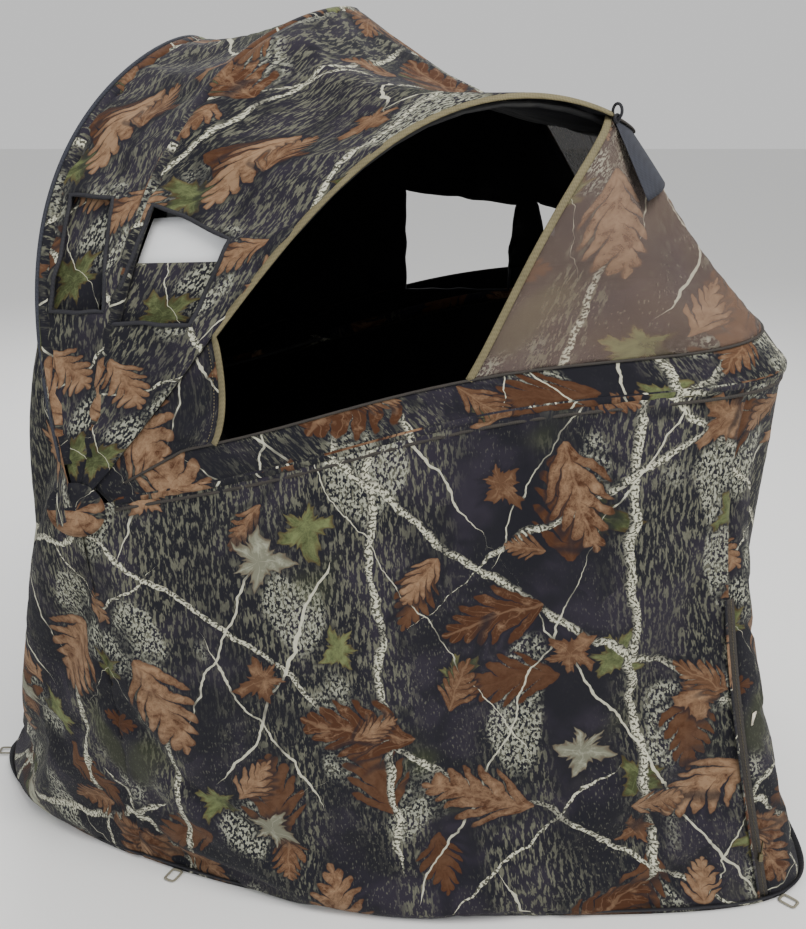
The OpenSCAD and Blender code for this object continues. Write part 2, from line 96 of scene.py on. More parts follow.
def make_world():
    world = bpy.data.worlds.new("studio")
    world.use_nodes = True
    background = world.node_tree.nodes["Background"]
    background.inputs["Color"].default_value = (1, 1, 1, 1)
    background.inputs["Strength"].default_value = WORLD_LIGHT
    bpy.context.scene.world = world


make_camera()
make_world()
make_light("key", (-2.4, -1.6, 4.4), (0, 0, 0.9), 2.4, 240, (1, 0.98, 0.95))
make_light("fill", (-3.4, 2.8, 2.2), (0, 0, 0.7), 3.0, 55, (0.95, 0.97, 1))
make_light("back", (3.4, 0.6, 3.4), (0, 0, 0.8), 3.0, 110)

# ---- shader building ----


class Number:
    """A number socket; expressions on it add Math nodes."""

    def __init__(self, tree, socket):
        self.tree = tree
        self.socket = socket

    def math(self, operation, *others):
        node = self.tree.nodes.new("ShaderNodeMath")
        node.operation = operation
        for slot, value in zip(node.inputs, (self, *others)):
            if isinstance(value, Number):
                self.tree.links.new(value.socket, slot)
            else:
                slot.default_value = value
        return Number(self.tree, node.outputs[0])

    def __add__(self, other):
        return self.math("ADD", other)

    __radd__ = __add__

    def __mul__(self, other):
        return self.math("MULTIPLY", other)

    __rmul__ = __mul__

    def __sub__(self, other):
        return self.math("SUBTRACT", other)

    def __rsub__(self, other):
        return self.math("MULTIPLY", -1.0).math("ADD", other)

    def __truediv__(self, other):
        return self.math("DIVIDE", other)

    def __pow__(self, other):
        return self.math("POWER", other)

    def __abs__(self):
        return self.math("ABSOLUTE")

    def sin(self):
        return self.math("SINE")

    def cos(self):
        return self.math("COSINE")

    def floor(self):
        return self.math("FLOOR")

    def low(self, other):
        return self.math("MINIMUM", other)

    def high(self, other):
        return self.math("MAXIMUM", other)

    def step(self, start, end):
        """0 before start, 1 after end, smooth between; start may be the larger."""
        node = self.tree.nodes.new("ShaderNodeMapRange")
        node.interpolation_type = "SMOOTHSTEP"
        for slot, value in zip(node.inputs, (self, start, end)):
            if isinstance(value, Number):
                self.tree.links.new(value.socket, slot)
            else:
                slot.default_value = value
        return Number(self.tree, node.outputs[0])


class Paint:
    """A material being built: its tree, its Principled shader and its pattern coordinates."""

    def __init__(self, name, colour=(0.5, 0.5, 0.5), roughness=0.8, metallic=0.0, gloss=0.5):
        self.material = bpy.data.materials.new(name)
        self.material.use_nodes = True
        self.tree = self.material.node_tree
        self.shader = self.tree.nodes["Principled BSDF"]
        self.set(roughness=roughness, metallic=metallic)
        self.shader.inputs["Specular IOR Level"].default_value = gloss
        self.shader.inputs["Base Color"].default_value = (*colour, 1)

    def set(self, **values):
        for name, value in values.items():
            self.shader.inputs[name.replace("_", " ").title()].default_value = value

    def node(self, kind, settings=None, **sockets):
        """A node of this type, with its settings made first and then its sockets, by name."""
        node = self.tree.nodes.new("ShaderNode" + kind)
        for name, value in (settings or {}).items():
            setattr(node, name, value)
        for name, value in sockets.items():
            slot = node.inputs[int(name[1:])] if name[0] == "i" and name[1:].isdigit() \
                else node.inputs[name.replace("_", " ")]
            if isinstance(value, Number):
                value = value.socket
            if isinstance(value, bpy.types.NodeSocket):
                self.tree.links.new(value, slot)
            else:
                slot.default_value = value
        return node

    def number(self, socket):
        return Number(self.tree, socket)

    def uv(self):
        parts = self.node("SeparateXYZ", Vector=self.node("TexCoord").outputs["UV"])
        return self.number(parts.outputs[0]), self.number(parts.outputs[1])

    def place(self):
        return self.node("TexCoord").outputs["Object"]

    def join(self, x, y, z=0.0):
        return self.node("CombineXYZ", i0=x, i1=y, i2=z).outputs[0]

    def cloud(self, vector, scale, detail=2.0, roughness=0.5):
        node = self.node("TexNoise", Vector=vector, Scale=scale, Detail=detail, Roughness=roughness)
        return self.number(node.outputs[0])

    def chance(self, x, y, seed):
        """Three random numbers for each whole-numbered cell."""
        node = self.node("TexWhiteNoise", {"noise_dimensions": "3D"}, Vector=self.join(x, y, seed))
        parts = self.node("SeparateColor", i0=node.outputs["Color"])
        return [self.number(parts.outputs[k]) for k in range(3)]

    def mix(self, factor, under, over):
        """The colour under, covered by the colour over as factor goes from 0 to 1."""
        node = self.node("Mix", {"data_type": "RGBA"})
        for slot, value in ((node.inputs[0], factor), (node.inputs[6], under), (node.inputs[7], over)):
            if isinstance(value, Number):
                value = value.socket
            if isinstance(value, bpy.types.NodeSocket):
                self.tree.links.new(value, slot)
            elif isinstance(value, tuple):
                slot.default_value = (*value, 1)
            else:
                slot.default_value = value
        return node.outputs[2]

    def feed(self, name, value):
        value = value.socket if isinstance(value, Number) else value
        self.tree.links.new(value, self.shader.inputs[name])

    def bump(self, height, strength, distance):
        node = self.node("Bump", Strength=strength, Distance=distance, Height=height)
        self.tree.links.new(node.outputs[0], self.shader.inputs["Normal"])


def turned(x, y, degrees):
    """The pattern coordinates turned by a fixed angle."""
    c, s = math.cos(math.radians(degrees)), math.sin(math.radians(degrees))
    return x * c + y * s, y * c - x * s


# ---- the camouflage print ----

SHADOW = (0.010, 0.010, 0.014)
PLUM = (0.021, 0.018, 0.027)
BARK = (0.062, 0.062, 0.048)
BARK_PALE = (0.15, 0.150, 0.110)
LICHEN = (0.40, 0.41, 0.33)
TWIG = (0.50, 0.49, 0.38)
RUST = (0.088, 0.045, 0.024)
TAN = (0.23, 0.145, 0.086)
DARK_LEAF = (0.055, 0.022, 0.010)
OLIVE = (0.040, 0.048, 0.020)
OLIVE_PALE = (0.13, 0.15, 0.065)
PALE_LEAF = (0.36, 0.37, 0.28)
UNEVEN_DRAWING = 0.036


def leaf_layer(p, x, y, cell, size, seed, kind, share):
    """Scattered leaves, one to a cell: (mask, veins, rim, shadow round it, a random number)."""
    gx, gy = x / cell, y / cell
    cx, cy = gx.floor(), gy.floor()
    rx, ry, turn = p.chance(cx, cy, seed)
    present, pick, grow = p.chance(cx, cy, seed + 7.3)
    lx = (gx - cx - 0.5 - (rx - 0.5) * 0.34) * cell
    ly = (gy - cy - 0.5 - (ry - 0.5) * 0.34) * cell
    angle = turn * (2 * math.pi)
    c, s = angle.cos(), angle.sin()
    scale = (grow * 0.45 + 0.75) * size
    u = (lx * c + ly * s) / scale
    v = (ly * c - lx * s) / scale
    u = u + v * v * 0.35
    side = abs(v)
    if kind == "oak":
        body = (1 - u * u).high(0.0) ** 0.75
        lobes = abs(((u - side * 1.5) * 8.2).sin()) ** 0.75
        outline = body * (lobes * 0.50 + 0.13)
        ribs = abs(((u - side * 1.5) * 8.2).cos())
        edge = outline - side
        vein = (side.step(0.035, 0.012)).high(ribs.step(0.16, 0.04) * side.step(0.5, 0.2) * 0.8)
    else:
        theta = v.math("ARCTAN2", u)
        radius = (u * u + v * v) ** 0.5
        lobes = 1 - abs((theta * 2.5).sin()) ** 1.3
        teeth = (1 - abs((theta * 10.0 + pick * 3.0).sin())) * 0.16
        outline = (lobes * 0.42 + 0.42 + teeth) * (theta.cos() * 0.22 + 0.82)
        edge = outline - radius
        vein = abs((theta * 2.5).sin()).step(0.16, 0.03) * radius.step(0.75, 0.3)
    grown = present.step(1.001 - share, 1.002 - share)
    mask = edge.step(0.0, 0.05) * grown
    rim = edge.step(0.22, 0.02)
    halo = edge.step(-0.34, 0.0) * grown
    return mask, vein, rim, halo, pick


def branch_layer(p, x, y, degrees, spacing, width, seed, share, wobble):
    """Long wavy branches in one direction: (mask, place across the branch)."""
    a, b = turned(x, y, degrees)
    drift = p.cloud(p.join(a, seed), 2.3, 2.0)
    kink = p.cloud(p.join(a, seed + 3), 9.0, 1.0)
    row = b / spacing + (drift - 0.5) * wobble / spacing
    index = row.floor()
    shift, weight, _ = p.chance(index, index, seed)
    across = (row - index - 0.5 - (shift - 0.5) * 0.5) * spacing + (kink - 0.5) * 0.022
    alive = p.cloud(p.join(a, index * 7.7, seed), 1.7, 0.0)
    ends = alive.step(1 - share, 1 - share + 0.05)
    half = (weight * 0.9 + 0.35) * width * ends
    return abs(across).step(half, half * 0.72), across / width


def camo_colour(p, x, y):
    """The print: shadow, bark, lichen, branches, twigs and leaves, from the back forwards."""
    wide = p.cloud(p.join(x, y * 0.6), 3.1, 2.0)
    blotch = p.cloud(p.join(x, y, 5.0), 7.5, 3.0)
    streak = p.cloud(p.join(x * 170, y * 42), 1.0, 2.5, 0.65)
    grain = p.cloud(p.join(x * 420, y * 150), 1.0, 1.0)
    colour = p.mix(blotch.step(0.42, 0.62), SHADOW, PLUM)
    # bark in soft upright trunks, cut by black upright dashes
    trunk = p.cloud(p.join(x, y * 0.16, 2.0), 5.6, 1.5).step(0.42, 0.54)
    dash = streak.step(0.50, 0.58)
    colour = p.mix(trunk * dash * 0.92, colour, p.mix(grain, BARK, BARK_PALE))
    # mist of fine flecks over the shadows
    fleck = p.cloud(p.join(x * 330, y * 120, 9.0), 1.0, 1.0).step(0.60, 0.70)
    colour = p.mix(fleck * wide.step(0.40, 0.55) * 0.45, colour, BARK_PALE)
    # lichen patches, pale with a black net
    patch = p.cloud(p.join(x * 1.2, y * 0.7, 4.0), 5.2, 1.5).step(0.575, 0.62)
    net = p.cloud(p.join(x * 1.25, y * 0.8, 6.0), 170.0, 1.5, 0.6).step(0.47, 0.56)
    colour = p.mix(patch * net * 0.92, colour, p.mix(grain, BARK_PALE, LICHEN))
    # an olive wash
    colour = p.mix(p.cloud(p.join(x, y, 8.0), 4.0, 2.0).step(0.60, 0.72) * 0.5, colour, OLIVE)
    layers = (
        (0.0, 0.23, 0.068, 11.0, "maple", 0.50, OLIVE, OLIVE_PALE),
        (24.0, 0.22, 0.078, 23.0, "oak", 0.55, DARK_LEAF, RUST),
        (61.0, 0.25, 0.064, 37.0, "maple", 0.45, RUST, TAN),
        (130.0, 0.27, 0.088, 53.0, "oak", 0.50, DARK_LEAF, TAN),
        (200.0, 0.19, 0.046, 83.0, "oak", 0.40, RUST, TAN),
        (95.0, 0.47, 0.070, 71.0, "maple", 0.40, BARK_PALE, PALE_LEAF),
    )
    branches = (
        (88.0, 0.33, 0.0088, 3.0, 0.56, 0.10),
        (-38.0, 0.37, 0.0085, 5.0, 0.56, 0.12),
        (35.0, 0.52, 0.0065, 7.0, 0.50, 0.12),
    )
    twigs = (
        (20.0, 0.17, 0.0022, 13.0, 0.40, 0.12),
        (62.0, 0.19, 0.0024, 17.0, 0.42, 0.12),
        (118.0, 0.16, 0.0022, 19.0, 0.40, 0.12),
    )

    def leaves(colour, layer):
        degrees, cell, size, seed, kind, share, dark, pale = layer
        a, b = turned(x, y, degrees)
        mask, vein, rim, halo, pick = leaf_layer(p, a + seed * 0.37, b + seed * 0.61,
                                                 cell, size, seed, kind, share)
        shade = p.cloud(p.join(x, y, seed), 42.0, 5.0, 0.75)
        ink = p.mix((shade * 3.6 - 1.45 + (pick - 0.5) * 0.9).low(1.0).high(0.0), dark, pale)
        colour = p.mix(halo * 0.7, colour, SHADOW)
        ink = p.mix(rim * 0.55, ink, DARK_LEAF)
        ink = p.mix(vein * 0.35, ink, pale)
        return p.mix(mask, colour, ink)

    bend = p.cloud(p.join(x, y, 12.0), 17.0, 3.0) - 0.5
    sway = p.cloud(p.join(x, y, 15.0), 17.0, 3.0) - 0.5
    x, y = x + bend * UNEVEN_DRAWING, y + sway * UNEVEN_DRAWING
    colour = leaves(colour, layers[0])
    colour = leaves(colour, layers[1])
    for branch in branches:
        mask, across = branch_layer(p, x, y, *branch)
        speckle = p.cloud(p.join(x, y, branch[3]), 230.0, 1.0).step(0.44, 0.54)
        wood = p.mix(speckle, BARK, TWIG)
        wood = p.mix(across.step(0.1, 0.8) * 0.75, wood, SHADOW)
        colour = p.mix(mask, colour, wood)
    for twig in twigs:
        mask, across = branch_layer(p, x, y, *twig)
        colour = p.mix(mask * 0.85, colour, TWIG)
    for layer in layers[2:]:
        colour = leaves(colour, layer)
    return colour, grain


def cloth_relief(p, x, y, thread, strength):
    """A woven surface: fine warp and weft over soft creases."""
    weave = ((x * thread).sin() * (y * thread).sin()) * 0.5
    crease = p.cloud(p.join(x, y, 1.0), 11.0, 4.0, 0.6)
    p.bump(weave * 0.06 + crease, strength, 0.012)


def camo_cloth():
    p = Paint("camo_cloth", roughness=0.86, gloss=0.12)
    x, y = p.uv()
    colour, grain = camo_colour(p, x, y)
    p.feed("Base Color", colour)
    p.feed("Roughness", grain * 0.12 + 0.78)
    p.set(sheen_weight=0.04)
    cloth_relief(p, x, y, 3600.0, 0.35)
    return p.material


def camo_mesh():
    """Printed see-through mesh: the same print, washed out, on an open weave."""
    p = Paint("camo_mesh", roughness=0.8, gloss=0.12)
    x, y = p.uv()
    colour, grain = camo_colour(p, x, y)
    haze = p.cloud(p.join(x, y, 3.0), 5.0, 2.0)
    p.feed("Base Color", p.mix(0.30, colour, p.mix(haze, (0.13, 0.095, 0.10), (0.42, 0.30, 0.21))))
    p.set(alpha=0.74, sheen_weight=0.05)
    cloth_relief(p, x, y, 2400.0, 0.15)
    return p.material


def lining_cloth():
    p = Paint("black_lining", roughness=0.72, gloss=0.15)
    x, y = p.uv()
    tone = p.cloud(p.join(x, y), 18.0, 3.0)
    p.feed("Base Color", p.mix(tone, (0.004, 0.004, 0.005), (0.012, 0.012, 0.014)))
    p.feed("Roughness", tone * 0.2 + 0.6)
    cloth_relief(p, x, y, 3000.0, 0.3)
    return p.material


def screen_cloth():
    """The fine pale insect screen behind a window."""
    p = Paint("pale_screen", roughness=0.8, gloss=0.2)
    x, y = p.uv()
    haze = p.cloud(p.join(x, y), 9.0, 3.0)
    thread = abs((x * 2600).sin()).high(abs((y * 2600).sin()))
    p.feed("Base Color", p.mix(haze * 0.6 + thread * 0.4, (0.50, 0.51, 0.52), (0.78, 0.79, 0.80)))
    p.feed("Roughness", haze * 0.2 + 0.7)
    p.set(alpha=0.93)
    p.bump(thread, 0.1, 0.0005)
    return p.material


def woven(name, dark, pale, scale=900.0, roughness=0.8, height=0.4):
    """Webbing, tape or binding: crossed threads on Object coordinates."""
    p = Paint(name, roughness=roughness)
    parts = p.node("SeparateXYZ", Vector=p.place())
    x, y, z = (p.number(parts.outputs[k]) for k in range(3))
    threads = ((x + y) * scale).sin() * ((z - y) * scale).sin()
    wear = p.cloud(p.place(), 35.0, 3.0)
    p.feed("Base Color", p.mix((threads * 0.25 + wear).low(1.0).high(0.0), dark, pale))
    p.feed("Roughness", wear * 0.2 + roughness - 0.1)
    p.bump(threads * 0.5 + wear, height, 0.0012)
    return p.material


def coated_metal(name, dark, pale, roughness, metallic, grain=420.0):
    """Powder coat or plate with a fine texture, worn paler in patches."""
    p = Paint(name, roughness=roughness, metallic=metallic)
    wear = p.cloud(p.place(), 22.0, 5.0, 0.65)
    fine = p.cloud(p.place(), grain, 2.0)
    p.feed("Base Color", p.mix(wear.step(0.45, 0.75), dark, pale))
    p.feed("Roughness", wear * 0.25 + (roughness - 0.12))
    p.bump(fine + wear * 0.4, 0.25, 0.0006)
    return p.material


def moulded(name, dark, pale, roughness=0.55):
    p = Paint(name, roughness=roughness)
    fine = p.cloud(p.place(), 700.0, 2.0)
    tone = p.cloud(p.place(), 30.0, 3.0)
    p.feed("Base Color", p.mix(tone, dark, pale))
    p.feed("Roughness", tone * 0.2 + roughness - 0.1)
    p.bump(fine, 0.3, 0.0004)
    return p.material


CAMO = camo_cloth()
MESH = camo_mesh()
LINING = lining_cloth()
PIPING = woven("dark_piping", (0.010, 0.009, 0.008), (0.035, 0.028, 0.022))
OLIVE_TAPE = woven("olive_tape", (0.085, 0.072, 0.034), (0.17, 0.145, 0.075))
BINDING = woven("black_binding", (0.004, 0.004, 0.006), (0.012, 0.012, 0.018))
# dark navy: the rear hoop's piping, and also the painted shade sheet on the front mesh
NAVY_BINDING_AND_SHADE = woven("navy_binding", (0.006, 0.007, 0.013), (0.022, 0.025, 0.038))
KHAKI = woven("khaki_webbing", (0.12, 0.11, 0.08), (0.26, 0.24, 0.18), 1400.0)
CREAM = woven("cream_ribbon", (0.55, 0.50, 0.38), (0.75, 0.70, 0.56), 2600.0)
SLING = woven("sling_cloth", (0.010, 0.011, 0.010), (0.030, 0.032, 0.028), 1300.0)
FRAME_COAT = coated_metal("frame_coat", (0.012, 0.012, 0.012), (0.045, 0.043, 0.040), 0.45, 0.0)
ROD_COAT = coated_metal("rod_coat", (0.008, 0.008, 0.009), (0.035, 0.034, 0.032), 0.62, 0.0)
ZINC = coated_metal("zinc_plate", (0.50, 0.50, 0.48), (0.72, 0.71, 0.66), 0.38, 1.0, 260.0)
STEEL = coated_metal("pressed_steel", (0.24, 0.24, 0.24), (0.42, 0.41, 0.39), 0.42, 1.0, 300.0)
BRASS = coated_metal("zip_metal", (0.10, 0.085, 0.045), (0.22, 0.19, 0.11), 0.42, 0.8, 500.0)
SCREEN = screen_cloth()
CAP = moulded("foot_cap", (0.010, 0.010, 0.010), (0.022, 0.022, 0.022))
NYLON = moulded("nylon", (0.55, 0.54, 0.50), (0.72, 0.71, 0.66), 0.45)
FLOOR = Paint("pale_floor", (0.80, 0.80, 0.79), 0.9).material

# ---- the blind's shape: the same hoops and skin as the CAD, in metres ----

LOW_PIN, HIGH_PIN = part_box("hub_pins")
HUB_Y = (LOW_PIN[1] + HIGH_PIN[1]) / 2
HUB_Z = (LOW_PIN[2] + HIGH_PIN[2]) / 2
HUB_SKIN = 0.450
ROD = 0.005
SKIN = ROD + 0.0055
HEM_HALF = 0.484
HEM_FRONT = 0.805
HEM_REAR = 0.805
HEM_MID = -0.133
HEM_START = 0.450
BAND = 0.070

# leg angle, lean, reach, half width, squareness, how late it leans, bow
REAR = (97, 20, 0.716, 0.435, 2.6, 2.5, 0)
TOP = (74.5, 14.5, 0.863, 0.470, 2.5, 4, 0)
UPPER = (49, 16.7, 1.030, 0.460, 6.5, 6.5, 1.5)
LOWER = (11, 0, 1.142, 0.470, 10, 2, 3.2)


def sin(a):
    return math.sin(math.radians(a))


def cos(a):
    return math.cos(math.radians(a))


def smooth(f):
    f = min(1.0, max(0.0, f))
    return f * f * (3 - 2 * f)


def spread(a, power):
    return (abs(cos(a)) ** power + abs(sin(a)) ** power) ** (-1 / power)


def hoop_point(hoop, a, grow=0.0, root=HUB_SKIN):
    """A point of a hoop, from a = 0 at the left hub over the crown to 180 at the right."""
    angle, lean, reach, half, power, late, bow = hoop
    r = spread(a, power)
    c, s = r * cos(a), max(0.0, r * sin(a))
    far = (reach + grow) * s
    up = angle - lean * s ** late + bow * sin(180 * min(s, 1)) ** 2
    wide = root + (half + grow - root) * smooth((far - 0.07) / 0.33)
    return Vector((-wide * c, HUB_Y - far * cos(up), HUB_Z + far * sin(up)))


def skin_point(hoop, a, grow=SKIN):
    return hoop_point(hoop, a, grow, HUB_SKIN + grow - SKIN)


def hem_narrow(y):
    if y < HEM_MID:
        return 1.0
    return max(0.0, 1 - min(1.0, (y - HEM_MID) / (HEM_REAR - HEM_MID)) ** 1.65) ** (1 / 1.65)


def hem_front_point(a, grow=SKIN):
    r = spread(a, 8.5)
    y = HEM_START - (HEM_START + HEM_FRONT + grow) * r * max(0.0, sin(a))
    return Vector((-(HEM_HALF + grow) * r * cos(a) * hem_narrow(y), y, 0))


def hem_rear_point(a, grow=SKIN):
    y = HEM_START + (HEM_REAR - HEM_START) * max(0.0, sin(a)) ** 1.2
    side = 1 if a < 90 else -1 if a > 90 else 0
    return Vector((-HEM_HALF * hem_narrow(y) * side - grow * cos(a), y + grow * sin(a), 0))


def fan_point(near, far, a, f, grow=SKIN):
    return skin_point(near, a, grow).lerp(skin_point(far, a, grow), f)


def band_share(a):
    return min(0.5, BAND / (skin_point(LOWER, a) - skin_point(UPPER, a)).length)


def above_sill(a, f, grow=SKIN):
    return fan_point(UPPER, LOWER, a, f * (1 - band_share(a)), grow)


def sill_point(a, f, grow=SKIN):
    return fan_point(LOWER, UPPER, a, f * band_share(a), grow)


def skirt_point(a, f, grow=SKIN):
    p = skin_point(LOWER, a, grow).lerp(hem_front_point(a, grow), f)
    s, c = spread(a, 10) * max(0.0, sin(a)), spread(a, 10) * cos(a)
    pull = sin(180 * f ** 0.7)
    side = sin(min(90, 3 * min(a, 180 - a)))
    return p + Vector((0.014 * c * pull * side, 0.055 * s ** 3 * pull, 0))


def rear_point(a, f, grow=SKIN):
    off = grow + 0.006
    top = skin_point(REAR, a, 0) + Vector((-off * cos(a), off * sin(a), -ROD))
    out = 0.078 * sin(180 * f ** 0.72)
    return top.lerp(hem_rear_point(a, grow), f) + Vector((-0.9 * out * cos(a) * sin(a), out * sin(a), 0))


def mix(start, end, f):
    return start + (end - start) * f


def mesh_edge(f):
    return mix(51, 30.5, f) - 1.6 * sin(180 * f)


def corner_edge(f):
    return mix(50, 45, f)


def gusset_edge(f):
    return mix(19.5, 13.5, f)


def wall_lapped(a, f):
    """The rear wall, with its front edges tucked a little under the skirt's."""
    p = rear_point(a, f)
    tuck = max(0.0, 1 - min(a, 180 - a) / 6)
    return p + Vector(((0.0035 if a < 90 else -0.0035) * tuck, -0.012 * tuck * f, 0))


def mirrored(place):
    def other(*where):
        p = place(*where)
        return Vector((-p.x, p.y, p.z))
    return other


# ---- building pieces ----

INSIDE = Vector((0, -0.05, 0.75))


def finish_mesh(name, bm, materials):
    mesh = bpy.data.meshes.new(name)
    bm.to_mesh(mesh)
    bm.free()
    for polygon in mesh.polygons:
        polygon.use_smooth = True
    piece = bpy.data.objects.new(name, mesh)
    bpy.context.collection.objects.link(piece)
    for material in materials:
        mesh.materials.append(material)
    return piece


def cloth_grid(place, columns, rows, upright=False):
    """A grid laid on place(u, v), with a UV map in metres measured along the cloth."""
    bm = bmesh.new()
    layer = bm.loops.layers.uv.new("cloth")
    bmesh.ops.create_grid(bm, x_segments=columns, y_segments=rows, size=0.5)
    points = [[place(i / columns, j / rows) for j in range(rows + 1)] for i in range(columns + 1)]
    middle = rows // 2
    along = [0.0]
    for i in range(columns):
        along.append(along[-1] + (points[i + 1][middle] - points[i][middle]).length)
    across = []
    for line in points:
        run = [0.0]
        for j in range(rows):
            run.append(run[-1] + (line[j + 1] - line[j]).length)
        across.append([value - run[middle] for value in run])
    for vertex in bm.verts:
        i = round((vertex.co.x + 0.5) * columns)
        j = round((vertex.co.y + 0.5) * rows)
        vertex.co = points[i][j]
        flat = (across[i][j], along[i]) if upright else (along[i], -across[i][j])
        for loop in vertex.link_loops:
            loop[layer].uv = flat
    return bm


def facing_out(bm):
    bm.normal_update()
    if sum(face.normal.dot(face.calc_center_median() - INSIDE) for face in bm.faces) < 0:
        bmesh.ops.reverse_faces(bm, faces=bm.faces[:])


def panel(name, place, columns, rows, materials, upright=False):
    bm = cloth_grid(place, columns, rows, upright)
    facing_out(bm)
    return finish_mesh(name, bm, materials)


def tube(name, path, radius, materials, sides=10, closed=False, flatten=1.0, across=None):
    """A round or flattened cord, roll or binding along a path of points."""
    count = len(path)
    frames = []
    normal = None
    for k, here in enumerate(path):
        before = path[k - 1] if closed or k else path[0]
        after = path[(k + 1) % count] if closed or k < count - 1 else path[-1]
        way = (after - before).normalized()
        if across is not None:
            normal = Vector(across[k]) if isinstance(across, list) else Vector(across)
        elif normal is None:
            normal = Vector((0.3, 0.2, 1)) if abs(way.z) < 0.9 else Vector((1, 0.2, 0))
        normal = (normal - way * normal.dot(way)).normalized()
        frames.append((here, normal, way.cross(normal)))

    def place(u, v):
        k = round(u * (count if closed else count - 1)) % count
        here, n, b = frames[k]
        turn = 2 * math.pi * v
        return here + n * (radius * flatten * math.cos(turn)) + b * (radius * math.sin(turn))

    bm = cloth_grid(place, count if closed else count - 1, sides)
    bmesh.ops.remove_doubles(bm, verts=bm.verts[:], dist=1e-6)
    if not closed:
        ends = [edge for edge in bm.edges if edge.is_boundary]
        bmesh.ops.holes_fill(bm, edges=ends, sides=0)
    bmesh.ops.recalc_face_normals(bm, faces=bm.faces[:])
    return finish_mesh(name, bm, materials)


def thicken(piece, thickness, lined=False):
    """Give the cloth its thickness, inwards, with the lining on its inner face."""
    solid = piece.modifiers.new("cloth_thickness", "SOLIDIFY")
    solid.thickness = thickness
    solid.offset = -1
    if lined:
        solid.material_offset = 1


def strip(name, place, length_steps, materials, thickness, width_steps=2):
    """A flat tape: place(u, v) runs along it with u and across it with v."""
    bm = cloth_grid(place, length_steps, width_steps)
    facing_out(bm)
    piece = finish_mesh(name, bm, materials)
    solid = piece.modifiers.new("tape_thickness", "SOLIDIFY")
    solid.thickness = thickness
    solid.offset = 1
    return piece


# ---- the skin panels ----

CAMO_LINED = [CAMO, LINING]
FRONT_LIFT = 0.0065
HUB_EDGE = 2.6  # degrees from the hinge line to the front panels' edges


def creased(place, size=0.0035, scale=5.5, seed=0.0):
    """Slightly uneven cloth to start the hanging from, still at its borders."""
    def uneven(u, v):
        p = place(u, v)
        calm = min(1.0, 14 * min(u, 1 - u), 14 * min(v, 1 - v))
        lift = noise.noise(p * scale + Vector((seed, 0, 0))) * size * max(0.0, calm)
        return p + (p - INSIDE).normalized() * lift
    return uneven


def whole_fan(near, far, lift=0.0):
    return lambda u, v: fan_point(near, far, mix(1.6, 178.4, u), v, SKIN + lift * v)


rear_wall = panel("rear_wall", creased(lambda u, v: wall_lapped(180 * u, v)), 84, 44,
                  CAMO_LINED)
rear_roof = panel("rear_roof", creased(whole_fan(REAR, TOP), seed=3), 110, 20,
                  CAMO_LINED, upright=True)
main_roof = panel("main_roof", creased(whole_fan(TOP, UPPER, FRONT_LIFT), seed=5), 120, 36,
                  CAMO_LINED, upright=True)
front_mesh = panel("front_mesh_cloth", creased(
    lambda u, v: above_sill(mix(mesh_edge(v), 180 - corner_edge(v), u), v), seed=7), 84, 44,
    [MESH])
right_door = panel("right_door_cloth", creased(mirrored(
    lambda u, v: above_sill(mix(HUB_EDGE, corner_edge(v) - 0.1, u), v)), seed=9), 60, 40,
    [CAMO, LINING])
left_gusset = panel("left_gusset_cloth", creased(
    lambda u, v: above_sill(mix(HUB_EDGE, gusset_edge(v), u), v), seed=11), 26, 26,
    CAMO_LINED)


def whole_band(u, v):
    return sill_point(mix(HUB_EDGE, 180 - HUB_EDGE, u), v)


sill_band = panel("sill_band_cloth", whole_band, 150, 6, CAMO_LINED)
SEAM = 44.5


def side_skirt(u, v):
    return skirt_point(SEAM * u, v)


def front_skirt(u, v):
    return skirt_point(mix(SEAM, 180 - SEAM, u), v)


skirt_left = panel("skirt_left_cloth", creased(side_skirt, seed=13), 76, 48, CAMO_LINED)
skirt_front = panel("skirt_front_cloth", creased(front_skirt, seed=15), 70, 48, CAMO_LINED)
skirt_right = panel("skirt_right_cloth", creased(mirrored(side_skirt), seed=17), 76, 48,
                    CAMO_LINED)


def hang(cloths, frames=24):
    """Let the panels sag between their sewn borders, and keep the shape they settle in."""
    scene = bpy.context.scene
    for piece, slack, weight in cloths:
        bm = bmesh.new()
        bm.from_mesh(piece.data)
        border = [vertex.index for vertex in bm.verts if vertex.is_boundary]
        bm.free()
        piece.vertex_groups.new(name="sewn").add(border, 1, "REPLACE")
        cloth = piece.modifiers.new("hanging", "CLOTH")
        settings = cloth.settings
        settings.quality = 5
        settings.mass = 0.12
        settings.tension_stiffness = 20
        settings.compression_stiffness = 20
        settings.shear_stiffness = 10
        settings.bending_stiffness = 0.35
        settings.air_damping = 2
        settings.tension_damping = 15
        settings.vertex_group_mass = "sewn"
        settings.shrink_min = -slack
        settings.effector_weights.gravity = weight
        cloth.collision_settings.use_collision = False
        cloth.point_cache.frame_start = 1
        cloth.point_cache.frame_end = frames
    for number in range(1, frames + 1):
        scene.frame_set(number)
    graph = bpy.context.evaluated_depsgraph_get()
    settled = [bpy.data.meshes.new_from_object(piece.evaluated_get(graph)) for piece, _, _ in cloths]
    for (piece, _, _), mesh in zip(cloths, settled):
        piece.modifiers.clear()
        piece.vertex_groups.clear()
        piece.data = mesh
    scene.frame_set(1)


if FINE:
    hang([(rear_wall, 0.022, 0.6), (rear_roof, 0.020, 0.7), (main_roof, 0.018, 0.7),
          (front_mesh, 0.012, 0.5), (right_door, 0.016, 0.5), (left_gusset, 0.014, 0.5),
          (skirt_left, 0.022, 0.6), (skirt_front, 0.022, 0.6), (skirt_right, 0.022, 0.6)])

# ---- windows ----

